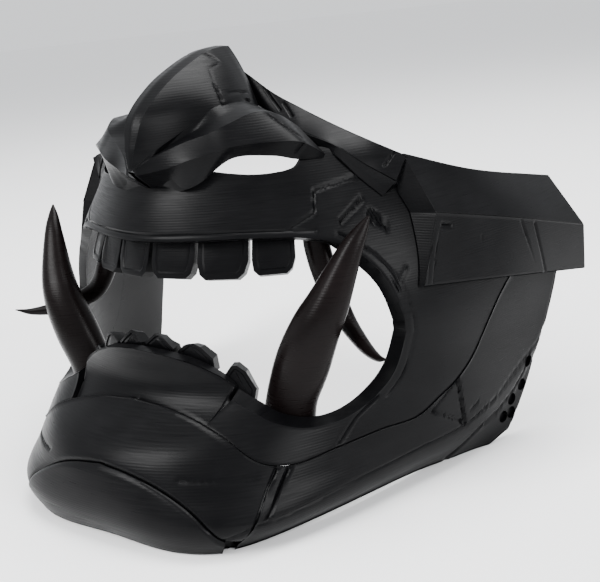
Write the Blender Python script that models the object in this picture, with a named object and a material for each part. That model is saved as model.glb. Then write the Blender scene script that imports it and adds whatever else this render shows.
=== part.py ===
"""Half-face oni mask, printed in black plastic, as separate closed pieces.

Metres, +Z up. The face looks along -Y, the wearer's left is +X. The mask stands on the
lower edge of its chin and jaws, with the origin on that floor, under the middle of its box.
"""
import math

import bmesh
import bpy
from mathutils import Vector

# Driving sizes
HALF_WIDTH = 0.0880       # middle plane to the widest point of the cheeks
SKIN_DEPTH = 0.1380       # chin front to the rear edge of the cheeks, at the brow
SKIN_HEIGHT = 0.1030      # floor to the highest section of the face skin
HALF_GIRTH = 0.1600       # length round one half of the skin, front to rear edge
WALL = 0.0032             # printed wall of the face
CHIN_WALL = 0.0050
SEAM = 0.0004             # gap between neighbouring pieces
NOSE_HALF_WIDTH = 0.511 * HALF_WIDTH
NOSE_DEPTH = 0.342 * SKIN_DEPTH
NOSE_RISE = 0.350 * SKIN_HEIGHT
NOSE_OVERHANG = 0.0073    # tip of the nose in front of the lip band
NOSE_LIFT = 0.0014        # nostril rim above the lip band's edge
NOSE_WALL = 0.0030
PLATE_RECESS = 0.0020     # seat of the oval plate in the chin
PLATE_PROUD = 0.0005
SEAT_STEP = 0.0002        # height over which the chin's surface drops to the plate's seat
PLATE_LIFT = 0.0004       # the plate's lower edge above the floor
LIP_STEP = 0.0013         # lower lip behind the chin's surface
TOOTH_DEPTH = 0.0042
TOOTH_SEAT = 0.0007       # gap between a tooth's back corner line and the wall it stands against
TUSK_GIRTH = 0.0088       # widest half thickness of a lower tusk
FANG_GIRTH = 0.0045       # the same of an upper tusk
VENT_RADIUS = 0.0020
VENT_DEPTH = 0.0020       # the vents are blind recesses
BAND_WALL = 0.0030
PLATE_EDGE = 0.0030       # thickness of an ear plate's top edge
EAR_SEAT = 0.0008         # gap between an ear plate and the cheek under it
EAR_END = 1.015           # rear end of the ear plates, as a share of SKIN_DEPTH from the chin
CHIN_FRONT = -(EAR_END * SKIN_DEPTH - PLATE_PROUD) / 2    # sets the origin under the box's middle


def hermite(xs, ys, x, first=None, last=None):
    """Smooth curve through the points, with its end slopes given where they matter."""
    slopes = [(b - a) / (d - c) for a, b, c, d in zip(ys, ys[1:], xs, xs[1:])]
    tangents = [slopes[0] if first is None else first]
    for i in range(1, len(xs) - 1):
        before, after = xs[i] - xs[i - 1], xs[i + 1] - xs[i]
        tangents.append((slopes[i - 1] * after + slopes[i] * before) / (before + after))
    tangents.append(slopes[-1] if last is None else last)
    i = min(max(sum(1 for value in xs if value <= x) - 1, 0), len(xs) - 2)
    step = xs[i + 1] - xs[i]
    t = (x - xs[i]) / step
    return ((2 * t**3 - 3 * t**2 + 1) * ys[i] + (t**3 - 2 * t**2 + t) * step * tangents[i]
            + (3 * t**2 - 2 * t**3) * ys[i + 1] + (t**3 - t**2) * step * tangents[i + 1])


# Face skin. Each row is a plan section: its level as a share of SKIN_HEIGHT, then points
# round one half of the face. x is a share of HALF_WIDTH, y a share of SKIN_DEPTH from the chin.
SKIN = [
    # level   front     corner x, y     cheek x, y      rear x, y
    (0.000,   0.029,    0.477, 0.112,   0.757, 0.562,   0.897, 0.732),
    (0.078,   0.000,    0.531, 0.101,   0.788, 0.511,   0.918, 0.785),
    (0.165,   0.007,    0.506, 0.134,   0.791, 0.497,   0.939, 0.825),
    (0.252,   0.041,    0.485, 0.174,   0.788, 0.494,   0.956, 0.854),
    (0.350,   0.149,    0.486, 0.246,   0.784, 0.491,   0.975, 0.888),
    (0.505,   0.159,    0.472, 0.279,   0.784, 0.490,   1.000, 0.924),
    (0.641,   0.207,    0.466, 0.315,   0.757, 0.505,   1.000, 0.947),
    (0.767,   0.236,    0.449, 0.355,   0.693, 0.525,   0.977, 0.970),
    (0.883,   0.275,    0.409, 0.391,   0.627, 0.562,   0.919, 0.990),
    (1.000,   0.330,    0.375, 0.424,   0.560, 0.595,   0.850, 1.003),
]
LEVELS = [row[0] * SKIN_HEIGHT for row in SKIN]
STATIONS = (0.0, 0.34, 0.62, 1.0)     # shares of the way round at which a section has its points


def skin(u, z, out=0.0):
    """Point of the face skin: u runs from 0 at the front to 1 at the rear edge, z is the height."""
    def at(way, height):
        values = [hermite(LEVELS, [row[k] for row in SKIN], height) for k in range(1, 8)]
        front, corner_x, corner_y, cheek_x, cheek_y, rear_x, rear_y = values
        xs = [v * HALF_WIDTH for v in (0.0, corner_x, cheek_x, rear_x)]
        ys = [CHIN_FRONT + v * SKIN_DEPTH for v in (front, corner_y, cheek_y, rear_y)]
        spread = math.dist((xs[0], ys[0]), (xs[1], ys[1])) / STATIONS[1]
        return Vector((hermite(STATIONS, xs, way, first=spread),
                       hermite(STATIONS, ys, way, first=0.0), height))
    way = abs(u)
    point = at(way, z)
    if out:
        du, dz = 1e-3, 5e-5
        along = at(way + du, z) - at(way - du, z)
        if way < du:
            along = Vector((1.0, 0.0, 0.0))
        up = at(way, z + dz) - at(way, z - dz)
        point += along.cross(up).normalized() * out
    if u < 0:
        point.x = -point.x
    return point


# Outlines on the skin: pairs of u and height, the height a share of SKIN_HEIGHT.
MOUTH_TOP = [(0.0, 0.772), (0.30, 0.764), (0.39, 0.754), (0.45, 0.738), (0.49, 0.716), (0.529, 0.684),
             (0.551, 0.650), (0.572, 0.600), (0.584, 0.554), (0.592, 0.512)]
MOUTH_BOTTOM = [(0.237, 0.360), (0.265, 0.344), (0.294, 0.329), (0.328, 0.310), (0.367, 0.292),
                (0.412, 0.275), (0.443, 0.270), (0.472, 0.274), (0.505, 0.293), (0.532, 0.320),
                (0.554, 0.350), (0.570, 0.384), (0.582, 0.425), (0.592, 0.470)]
LIP_TOP = [(0.0, 0.487), (0.049, 0.481), (0.099, 0.469), (0.144, 0.452), (0.186, 0.429), (0.217, 0.408),
           (0.241, 0.386)]
JAW_LINE = [(0.0, 0.348), (0.112, 0.335), (0.198, 0.310), (0.273, 0.274), (0.353, 0.212), (0.39, 0.199),
            (0.461, 0.207), (0.534, 0.215), (0.601, 0.215), (0.653, 0.249), (0.704, 0.283),
            (0.758, 0.341), (0.831, 0.494), (0.865, 0.540), (0.93, 0.548), (1.0, 0.540), (1.1, 0.540)]
UPPER_EDGE = [(0.0, 0.905), (0.15, 0.912), (0.26, 0.915), (0.36, 0.928), (0.42, 0.942), (0.49, 0.942),
              (0.545, 0.892), (0.593, 0.832), (0.63, 0.800), (0.75, 0.760), (0.90, 0.680),
              (1.0, 0.630), (1.1, 0.620)]
LOWER_EDGE = [(0.0, 0.0), (0.30, 0.0), (0.42, 0.020), (0.55, 0.018), (0.66, 0.0), (0.88, 0.0),
              (1.0, 0.030)]
OVAL_EDGE = [(0.0, 0.221), (0.076, 0.207), (0.139, 0.182), (0.218, 0.125), (0.285, 0.043), (0.36, 0.030)]
MOUTH_END = MOUTH_TOP[-1][0]


def edge(outline, u):
    """Height of an outline at u."""
    return hermite([p[0] for p in outline], [p[1] for p in outline], abs(u)) * SKIN_HEIGHT


CHIN_SIDE = (0.310, 0.369)    # u of the seam between chin and jaw, at its foot and its top
LIP_SIDE = (0.206, 0.238)     # u of the seam between lower lip and cheek, at its foot and its top


def slanted(seam, t):
    """u of a slanted seam, from its foot, t = 0, to its top, t = 1."""
    return seam[0] + (seam[1] - seam[0]) * t


def floor_edge(u):
    """Height of the mask's lower edge at u: nothing reaches below the floor."""
    return max(0.0, edge(LOWER_EDGE, u))


def on_rim(point, z):
    """The point at the lower edge's own height, so the rim is cut level."""
    return Vector((point.x, point.y, z))


SEAM_U = SEAM / HALF_GIRTH


def material(name, colour, roughness):
    """Principled material of one kind of printed part."""
    made = bpy.data.materials.new(name)
    made.use_nodes = True
    shader = made.node_tree.nodes["Principled BSDF"]
    shader.inputs["Base Color"].default_value = (*colour, 1.0)
    shader.inputs["Roughness"].default_value = roughness
    shader.inputs["Metallic"].default_value = 0.0
    return made


def finish(name, bm, finish_material, sharp=35.0):
    """Turns a closed bmesh into a named object."""
    bmesh.ops.remove_doubles(bm, verts=bm.verts, dist=1e-6)
    bmesh.ops.dissolve_degenerate(bm, dist=1e-6, edges=bm.edges)
    bmesh.ops.recalc_face_normals(bm, faces=bm.faces)
    mesh = bpy.data.meshes.new(name)
    bm.to_mesh(mesh)
    bm.free()
    mesh.materials.append(finish_material)
    mesh.shade_smooth()
    mesh.set_sharp_from_angle(angle=math.radians(sharp))
    thing = bpy.data.objects.new(name, mesh)
    bpy.context.collection.objects.link(thing)
    return thing


def walled(columns, rows, outer, inner, is_open=None):
    """Closed wall over a grid: outer(i, j) and inner(i, j) give its two faces."""
    bm = bmesh.new()
    wide, high = columns - 1, rows - 1
    bmesh.ops.create_grid(bm, x_segments=wide, y_segments=high, size=0.5)
    place = {v: (round((v.co.x + 0.5) * wide), round((v.co.y + 0.5) * high)) for v in bm.verts}
    if is_open:
        gone = []
        for face in bm.faces:
            i = min(place[v][0] for v in face.verts)
            j = min(place[v][1] for v in face.verts)
            if is_open(i, j):
                gone.append(face)
        bmesh.ops.delete(bm, geom=gone, context="FACES")
    fresh = bmesh.ops.extrude_face_region(bm, geom=bm.faces[:])["geom"]
    backs = [v for v in fresh if isinstance(v, bmesh.types.BMVert)]
    for v in backs:
        i, j = round((v.co.x + 0.5) * wide), round((v.co.y + 0.5) * high)
        v.co = inner(i, j)
    rear = set(backs)
    for v in bm.verts:
        if v not in rear:
            v.co = outer(*place[v])
    return bm


def mirrored(values):
    """Values from the middle outwards, repeated on the other side with their sign turned."""
    return [-v for v in reversed(values[1:])] + list(values)


# Face shell: lip band, cheeks and mouth corners in one wall
SHELL_WAYS = mirrored([0.0, 0.08, 0.16, 0.24, 0.29, 0.34, 0.39, 0.44, 0.49, 0.53, 0.557, 0.577, MOUTH_END,
                       0.63, 0.68, 0.706, 0.735, 0.765, 0.80, 0.831, 0.865, 0.90, 0.95, 1.0])
LIP_END = 3               # the column, from the middle, where the lower lip's seam runs
LOW_ROWS, HIGH_ROWS = 5, 6
MOUTH_SHARES = (0.41, 0.48)   # mouth rows behind the corner, as shares from jaw line to upper edge
CHAMFER = 0.0026          # the mouth's rim slants this far into the opening over the wall's depth
CHAMFER_GROWS = (0.45, 0.53)      # on the upper rim the slant grows between these u


def shell_place(i, j):
    """u and height of a grid point of the face shell."""
    u = SHELL_WAYS[i]
    side = math.copysign(1.0, u)
    way = abs(u)
    if j < LOW_ROWS:
        t = j / (LOW_ROWS - 1)
        top_seam = LIP_SIDE[1] + SEAM_U
        seam_column = SHELL_WAYS[len(SHELL_WAYS) // 2 + LIP_END]
        lean = max(0.0, (MOUTH_END - way) / (MOUTH_END - seam_column))
        way -= lean * (seam_column - top_seam + (LIP_SIDE[1] - LIP_SIDE[0]) * (1.0 - t))
    low = edge(JAW_LINE, way) + SEAM / 2
    high = edge(UPPER_EDGE, way) - SEAM / 2
    if way < MOUTH_END:
        gap = (edge(MOUTH_BOTTOM, way), edge(MOUTH_TOP, way))
    else:
        gap = [low + share * (high - low) for share in MOUTH_SHARES]
    if j < LOW_ROWS:
        return side * way, low + (gap[0] - low) * j / (LOW_ROWS - 1)
    return side * way, gap[1] + (high - gap[1]) * (j - LOW_ROWS) / (HIGH_ROWS - 1)


def shell_open(i, j):
    """True for the grid faces that the mouth, the lower lip and the chin take."""
    middle = len(SHELL_WAYS) // 2
    column = i - middle if i >= middle else middle - 1 - i
    ring = SHELL_WAYS.index(MOUTH_END) - middle
    if j == LOW_ROWS - 1:
        return column < ring
    return j < LOW_ROWS - 1 and column < LIP_END


def slant(u, j):
    """Steps of u and height from the mouth's outer edge to its inner one."""
    way, turn, size = abs(u), 1.0, CHAMFER
    outline = MOUTH_BOTTOM
    if j == LOW_ROWS:
        outline, turn = MOUTH_TOP, -1.0
        first, last = CHAMFER_GROWS
        size *= min(max((way - first) / (last - first), 0.0), 1.0)
    back = 0.01
    rise = (edge(outline, way) - edge(outline, way - back)) / (back * HALF_GIRTH)
    size *= turn / math.hypot(rise, 1.0)
    return math.copysign(1.0, u) * -rise * size / HALF_GIRTH, size


def face_shell(plastic):
    def outer(i, j):
        return skin(*shell_place(i, j))

    def inner(i, j):
        u, z = shell_place(i, j)
        if j in (LOW_ROWS - 1, LOW_ROWS) and abs(u) <= MOUTH_END:
            du, dz = slant(u, j)
            return skin(u + du, z + dz, -WALL)
        return skin(u, z, -WALL)
    bm = walled(len(SHELL_WAYS), LOW_ROWS + HIGH_ROWS, outer, inner, shell_open)
    return finish("face_shell", bm, plastic)


def band_between(name, ways, low, high, rows, plastic, out=0.0, wall=WALL):
    """Panel of the skin: ways(t) gives its columns' u, low(u) and high(u) its edges' heights."""
    def place(i, j):
        t = j / (rows - 1)
        u = ways(t)[i]
        return u, low(u) + t * (high(u) - low(u))
    bm = walled(len(ways(0.0)), rows,
                lambda i, j: skin(*place(i, j), out), lambda i, j: skin(*place(i, j), out - wall))
    return finish(name, bm, plastic)


# Lower lip, chin and its oval plate
def lower_lip(plastic):
    shares = mirrored([0.0, 0.25, 0.5, 0.75, 1.0])

    def ways(t):
        return [s * (slanted(LIP_SIDE, t) - SEAM_U) for s in shares]
    return band_between("lower_lip", ways, lambda u: edge(JAW_LINE, u) + SEAM / 2,
                        lambda u: edge(LIP_TOP, u), 4, plastic, out=-LIP_STEP)


CHIN_SHARES = mirrored([0.0, 0.1, 0.2, 0.3, 0.4, 0.5, 0.6, 0.7, 0.8, 0.9, 1.0])
OVAL_END = 0.285


def chin(plastic):
    rows = 9

    def height(u, j):
        low, oval = floor_edge(u), edge(OVAL_EDGE, u)
        top = edge(JAW_LINE, u) - SEAM / 2
        if j < 3:
            return (low, oval, oval + SEAT_STEP)[j], low, top
        return oval + SEAT_STEP + (top - oval - SEAT_STEP) * (j - 2) / (rows - 3), low, top

    def place(i, j):
        u = CHIN_SHARES[i] * slanted(CHIN_SIDE, 0.5)
        for _ in range(4):
            z, low, top = height(u, j)
            u = CHIN_SHARES[i] * (slanted(CHIN_SIDE, (z - low) / (top - low)) - 2 * SEAM_U)
        return u, height(u, j)[0]

    def outer(i, j):
        u, z = place(i, j)
        point = skin(u, z, -PLATE_RECESS if j < 2 else 0.0)
        return point if j else on_rim(point, z)

    def inner(i, j):
        u, z = place(i, j)
        point = skin(u, z, -CHIN_WALL)
        return point if j else on_rim(point, z)
    return finish("chin", walled(len(CHIN_SHARES), rows, outer, inner), plastic)


def chin_plate(plastic):
    ways = [s * OVAL_END for s in mirrored([0.0, 0.12, 0.24, 0.36, 0.48, 0.6, 0.72, 0.84, 0.92, 1.0])]
    rows = 4

    def place(i, j):
        u = ways[i]
        low, high = floor_edge(u) + PLATE_LIFT, edge(OVAL_EDGE, u) - SEAM
        return u, low + (high - low) * j / (rows - 1)

    def face(i, j, out):
        u, z = place(i, j)
        point = skin(u, z, out)
        return point if j else on_rim(point, z)
    bm = walled(len(ways), rows, lambda i, j: face(i, j, PLATE_PROUD),
                lambda i, j: face(i, j, SEAM - PLATE_RECESS))
    return finish("chin_plate", bm, plastic)


# Jaws: rail along the bottom and the rear cheek panel with its vents
JAW_WAYS = [u for u in SHELL_WAYS if u > 0.38]      # the jaw shares the shell's columns along their seam
VENTS = [
    # u      height as a share of SKIN_HEIGHT
    (0.975, 0.225),
    (0.978, 0.155),
    (0.948, 0.122),
    (0.972, 0.078),
    (0.930, 0.076),
]


def jaw(name, side, plastic):
    rows = 7

    def place(i, j):
        t = j / (rows - 1)
        u = JAW_WAYS[i - 1] if i else slanted(CHIN_SIDE, t) + SEAM_U
        low, high = floor_edge(u), edge(JAW_LINE, u) - SEAM
        return side * u, low + t * (high - low)

    def face(i, j, out):
        u, z = place(i, j)
        point = skin(u, z, out)
        return point if j else on_rim(point, z)
    bm = walled(len(JAW_WAYS) + 1, rows, lambda i, j: face(i, j, 0.0), lambda i, j: face(i, j, -WALL))
    made = finish(name, bm, plastic)
    cutter = bmesh.new()
    for way, share in VENTS:
        height = share * SKIN_HEIGHT
        inside, outside = skin(side * way, height, -VENT_DEPTH), skin(side * way, height, WALL)
        turn = (outside - inside).to_track_quat("Z", "Y").to_matrix().to_4x4()
        turn.translation = (inside + outside) / 2
        bmesh.ops.create_cone(cutter, cap_ends=True, segments=10, radius1=VENT_RADIUS, radius2=VENT_RADIUS,
                              depth=(outside - inside).length, matrix=turn)
    tool = finish(name + "_vents", cutter, plastic)
    tool.hide_render = True
    tool.display_type = "WIRE"
    cut = made.modifiers.new("vents", "BOOLEAN")
    cut.operation = "DIFFERENCE"
    cut.solver = "EXACT"
    cut.object = tool
    return made


# Ear plates: a bent bar that stands off the cheek in front and runs nearly flush at the rear.
# x is a share of HALF_WIDTH, y of SKIN_DEPTH from the chin, z of SKIN_HEIGHT.
EAR = [
    # top x, y, z             ridge x, y, z           foot x, y, z
    ((0.707, 0.567, 0.938), (0.818, 0.560, 0.776), (0.803, 0.504, 0.585)),
    ((0.824, 0.721, 0.857), (0.934, 0.752, 0.707), (0.932, 0.692, 0.546)),
    ((0.922, EAR_END, 0.762), (1.052, EAR_END, 0.606), (1.052, EAR_END, 0.462)),
]
EAR_WAYS = [0.0, 0.08, 0.16, 0.24, 0.32, 0.41, 0.50, 0.59, 0.68, 0.77, 0.85, 0.92, 1.0]
EAR_ROWS = ("foot", "side", "ridge", "slope", "top")


def spot(shares, side=1.0):
    """Point whose x, y and z are shares of the face's half width, depth and height."""
    x, y, z = shares
    return Vector((side * x * HALF_WIDTH, CHIN_FRONT + y * SKIN_DEPTH, z * SKIN_HEIGHT))


def way_at(y, z):
    """u at which the skin at height z reaches y."""
    low, high = 0.3, 1.2
    for _ in range(30):
        middle = (low + high) / 2
        if skin(middle, z).y < y:
            low = middle
        else:
            high = middle
    return low


def ear_plate(name, side, plastic):
    keys = [0.0, 0.44, 1.0]

    def corner(kind, t):
        return [hermite(keys, [row[kind][axis] for row in EAR], t) for axis in range(3)]

    def outer(i, j):
        t = EAR_WAYS[i]
        top, ridge, foot = (spot(corner(kind, t)) for kind in range(3))
        point = (foot, foot.lerp(ridge, 0.5), ridge, ridge.lerp(top, 0.5), top)[j]
        return Vector((side * point.x, point.y, point.z))

    def inner(i, j):
        point = outer(i, j)
        if EAR_ROWS[j] == "top":
            return point + Vector((-side * PLATE_EDGE, 0.0, -PLATE_EDGE / 2))
        if EAR_ROWS[j] == "slope":
            point.z -= PLATE_EDGE
        wall = skin(way_at(point.y, point.z), point.z, EAR_SEAT)
        reach = min(wall.x, abs(point.x) - PLATE_EDGE / 2)
        return Vector((side * reach, point.y, point.z))
    return finish(name, walled(len(EAR_WAYS), len(EAR_ROWS), outer, inner), plastic)


# Brow bands, from the nose to the ear plates, in the same shares as the ear plates
BROW = [
    # top x, y, z             low edge x, y, z        foot x, y, z
    ((0.105, 0.580, 1.175), (0.189, 0.556, 1.074), (0.188, 0.574, 1.044)),
    ((0.205, 0.576, 1.120), (0.250, 0.545, 1.052), (0.250, 0.560, 1.019)),
    ((0.318, 0.572, 1.074), (0.375, 0.519, 1.014), (0.375, 0.522, 0.981)),
    ((0.506, 0.558, 1.009), (0.528, 0.500, 0.973), (0.515, 0.498, 0.950)),
    ((0.614, 0.559, 0.971), (0.602, 0.518, 0.922), (0.585, 0.514, 0.884)),
    ((0.700, 0.564, 0.940), (0.671, 0.546, 0.874), (0.639, 0.528, 0.838)),
]
BAND_END = 0.95           # share of the band's course at which it meets the ear plate
BACKWARDS = Vector((-0.25, 0.80, -0.55)).normalized()
LEVEL_BACK = Vector((-0.45, 0.89, 0.0)).normalized()


def brow_band(name, side, plastic):
    steps = [BAND_END * k / 10 for k in range(11)]
    keys = [0.0, 0.15, 0.32, 0.62, 0.8, 1.0]

    def outer(i, j):
        kind = (2, 1, 1, 0)[j]
        point = spot([hermite(keys, [row[kind][axis] for row in BROW], steps[i]) for axis in range(3)])
        if j == 2:
            top = spot([hermite(keys, [row[0][axis] for row in BROW], steps[i]) for axis in range(3)])
            point = point.lerp(top, 0.5)
        return Vector((side * point.x, point.y, point.z))

    def inner(i, j):
        shift = (LEVEL_BACK if j == 0 else BACKWARDS) * BAND_WALL
        return outer(i, j) + Vector((side * shift.x, shift.y, shift.z))
    return finish(name, walled(len(steps), 4, outer, inner), plastic)


# Nose: sections from its tip to the brow. x is a share of NOSE_HALF_WIDTH, y of NOSE_DEPTH from
# the tip, z of NOSE_RISE above the nostril rim.
NOSE = [
    # ridge y, z    crease  edge x, y, z
    #     wing top x, y, z        arch x, y, z            rim x, y, z
    ((0.000, 0.163), 0.013, (0.031, 0.013, 0.172),
     (0.040, 0.013, 0.158), (0.049, 0.004, 0.119), (0.018, 0.013, 0.083)),
    ((0.030, 0.343), 0.044, (0.111, 0.102, 0.266),
     (0.138, 0.097, 0.241), (0.211, 0.095, 0.150), (0.078, 0.076, 0.022)),
    ((0.110, 0.565), 0.071, (0.218, 0.275, 0.393),
     (0.289, 0.199, 0.321), (0.356, 0.153, 0.194), (0.244, 0.119, 0.017)),
    ((0.322, 0.765), 0.080, (0.316, 0.396, 0.510),
     (0.422, 0.280, 0.371), (0.500, 0.242, 0.233), (0.389, 0.199, 0.028)),
    ((0.555, 0.898), 0.080, (0.369, 0.500, 0.560),
     (0.533, 0.364, 0.432), (0.616, 0.328, 0.266), (0.533, 0.354, 0.161)),
    ((0.767, 0.981), 0.076, (0.391, 0.661, 0.557),
     (0.622, 0.513, 0.488), (0.796, 0.479, 0.263), (0.733, 0.492, 0.150)),
    ((0.915, 1.000), 0.067, (0.382, 0.809, 0.515),
     (0.689, 0.650, 0.449), (0.918, 0.576, 0.235), (0.867, 0.587, 0.100)),
    ((1.000, 0.997), 0.062, (0.356, 0.894, 0.463),
     (0.747, 0.769, 0.332), (0.991, 0.699, 0.116), (0.969, 0.708, 0.083)),
]
NOSE_STEPS = 3            # rows from one section of the nose to the next
NOSE_BULGE = 0.09         # how far the side of the nose swells, as a share of its length
POCKET = 0.0016           # depth of the groove between the nose and its wing
TIP_WALL_SHARE = 0.35     # the wall is never more than this share of the way to the nose's axis


def nose(plastic):
    tip_y = skin(0.0, edge(UPPER_EDGE, 0.15)).y - NOSE_OVERHANG
    base_z = edge(UPPER_EDGE, 0.0) + NOSE_LIFT
    keys = list(range(len(NOSE)))

    def place(x, y, z):
        return Vector((x * NOSE_HALF_WIDTH, tip_y + y * NOSE_DEPTH, base_z + z * NOSE_RISE))

    def section(row):
        t = row / NOSE_STEPS

        def blend(pick):
            return hermite(keys, [pick(line) for line in NOSE], t)
        ridge = place(0.0, blend(lambda line: line[0][0]), blend(lambda line: line[0][1]))
        crease = Vector((blend(lambda line: line[1]) * NOSE_HALF_WIDTH, ridge.y, ridge.z))
        crease += Vector((0.0, 0.12, -0.12)) * crease.x
        low, top, arch, rim = (place(*(blend(lambda line, k=k, a=a: line[k][a]) for a in range(3)))
                               for k in (2, 3, 4, 5))
        axis = Vector((0.0, (ridge.y + arch.y) / 2, arch.z))
        side = crease.lerp(low, 0.5)
        side += (side - axis).normalized() * (low - crease).length * NOSE_BULGE
        pocket = low.lerp(top, 0.5)
        pocket -= (pocket - axis).normalized() * min(POCKET, (pocket - axis).length / 4)
        return [ridge, crease, side, low, pocket, top, arch, rim], axis
    rows = [section(r) for r in range(NOSE_STEPS * (len(NOSE) - 1) + 1)]
    middle = len(rows[0][0]) - 1

    def outer(i, j):
        point = rows[j][0][abs(i - middle)].copy()
        point.x = math.copysign(point.x, i - middle)
        return point

    def inner(i, j):
        point, axis = outer(i, j), rows[j][1]
        inwards = axis - point
        return point + inwards.normalized() * min(NOSE_WALL, inwards.length * TIP_WALL_SHARE)
    return finish("nose", walled(2 * middle + 1, len(rows), outer, inner), plastic, sharp=30.0)


# Teeth
UPPER_TEETH = [
    # from u, to u, foot and root heights as shares of SKIN_HEIGHT
    (0.005, 0.128, 0.674, 0.815),
    (0.133, 0.255, 0.671, 0.812),
    (0.260, 0.366, 0.676, 0.805),
]
LOWER_TEETH = [
    # from u, to u, root and tip heights as shares of SKIN_HEIGHT
    (0.003, 0.092, 0.445, 0.540),
    (0.098, 0.186, 0.415, 0.510),
    (0.194, 0.280, 0.355, 0.432),
]
CROWN = 0.55              # a lower tooth's tip as a share of its width
TAPER = 0.90              # an upper tooth's foot as a share of its width


def tooth(name, side, row, plastic, narrow, narrow_top, seat):
    """Tooth seated behind the wall: seat is the depth of its front face behind the skin."""
    first, last, low, high = row
    bm = bmesh.new()
    bmesh.ops.create_cube(bm, size=2.0)
    bmesh.ops.bevel(bm, geom=bm.edges[:], offset=0.28, segments=1, profile=0.5, affect="EDGES", material=-1)
    middle, half = (first + last) / 2, (last - first) / 2
    for v in bm.verts:
        a, b, c = v.co
        t = (c + 1) / 2
        share = narrow + (1 - narrow) * t if not narrow_top else 1 - (1 - narrow) * max(0.0, 2 * t - 1)
        depth = seat + TOOTH_DEPTH * (b * (share if narrow_top else 1.0) + 1) / 2
        u = side * (middle + a * half * share)
        v.co = skin(u, (low + (high - low) * t) * SKIN_HEIGHT, -depth)
    return finish(name, bm, plastic, sharp=25.0)


def teeth(plastic):
    rows = ((UPPER_TEETH, "upper", TAPER, False), (LOWER_TEETH, "lower", CROWN, True))
    for table, jaw_name, narrow, narrow_top in rows:
        places = [(-1, row) for row in reversed(table)] + [(1, row) for row in table]
        for number, (side, row) in enumerate(places, start=1):
            seat = WALL + TOOTH_SEAT + (LIP_STEP if narrow_top else 0.0)
            tooth(f"{jaw_name}_tooth_{number}", side, row, plastic, narrow, narrow_top, seat)


# Tusks: points of the middle line in the same shares as the ear plates, with the half
# thickness as a share of TUSK_GIRTH or FANG_GIRTH
LOWER_TUSK = [
    # x      y      z      thickness
    (0.448, 0.302, 0.267, 0.90),
    (0.472, 0.304, 0.340, 0.88),
    (0.522, 0.305, 0.433, 0.92),
    (0.574, 0.310, 0.524, 0.83),
    (0.619, 0.328, 0.602, 0.69),
    (0.672, 0.366, 0.723, 0.41),
    (0.699, 0.389, 0.777, 0.23),
    (0.717, 0.404, 0.812, 0.05),
]
UPPER_TUSK = [
    # x      y      z      thickness
    (0.466, 0.444, 0.777, 0.85),
    (0.476, 0.440, 0.699, 0.92),
    (0.517, 0.430, 0.602, 0.86),
    (0.585, 0.414, 0.515, 0.70),
    (0.699, 0.360, 0.475, 0.50),
    (0.784, 0.319, 0.468, 0.28),
    (0.841, 0.293, 0.480, 0.05),
]
TUSK_SIDES = 8
TUSK_FLAT = 0.78          # a tusk's depth as a share of its width


def tusk(name, side, table, girth, plastic):
    keys = list(range(len(table)))
    count = 2 * (len(table) - 1) + 1

    def along(t):
        return [hermite(keys, [row[k] for row in table], t) for k in range(4)]
    points = []
    for k in range(count):
        x, y, z, share = along(k / 2)
        points.append((spot((x, y, z), side), max(share, 0.04) * girth))
    bm = bmesh.new()
    bmesh.ops.create_circle(bm, cap_ends=True, segments=TUSK_SIDES, radius=1.0)
    bm.faces.ensure_lookup_table()
    cap = bm.faces[0]
    ring = [loop.vert for loop in cap.loops]
    shape = [v.co.copy() for v in ring]

    def lay(ring, k):
        before, after = points[max(k - 1, 0)][0], points[min(k + 1, count - 1)][0]
        heading = (after - before).normalized()
        across = heading.cross(Vector((0.0, 1.0, 0.0))).normalized()
        deep = across.cross(heading)
        centre, size = points[k]
        for v, flat in zip(ring, shape):
            v.co = centre + across * flat.x * size + deep * flat.y * size * TUSK_FLAT
    lay(ring, 0)
    for k in range(1, count):
        fresh = bmesh.ops.extrude_discrete_faces(bm, faces=[cap])["faces"]
        if k == 1:
            bmesh.ops.contextual_create(bm, geom=ring)
        cap = fresh[0]
        ring = [loop.vert for loop in cap.loops]
        lay(ring, k)
    return finish(name, bm, plastic, sharp=40.0)


def build():
    for old in list(bpy.data.objects):
        bpy.data.objects.remove(old, do_unlink=True)
    plastic = material("printed_plastic", (0.030, 0.030, 0.032), 0.42)
    ivory_black = material("tusk_plastic", (0.026, 0.023, 0.023), 0.38)
    face_shell(plastic)
    lower_lip(plastic)
    chin(plastic)
    chin_plate(plastic)
    nose(plastic)
    for word, side in (("left", 1.0), ("right", -1.0)):
        jaw("jaw_" + word, side, plastic)
        ear_plate("ear_plate_" + word, side, plastic)
        brow_band("brow_band_" + word, side, plastic)
        tusk("lower_tusk_" + word, side, LOWER_TUSK, TUSK_GIRTH, ivory_black)
        tusk("upper_tusk_" + word, side, UPPER_TUSK, FANG_GIRTH, ivory_black)
    teeth(plastic)


build()
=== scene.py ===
# %% [markdown]
# # A printed half-face oni mask
# The solids of the mask come in as a frame that is never moved. This lesson dresses them: each
# piece is built again with finer curves, rounded rims and engraved lines, in the solid's place.

# %% Frame
import math

import bmesh
import bpy
import numpy as np
from mathutils import Matrix, Vector


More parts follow.
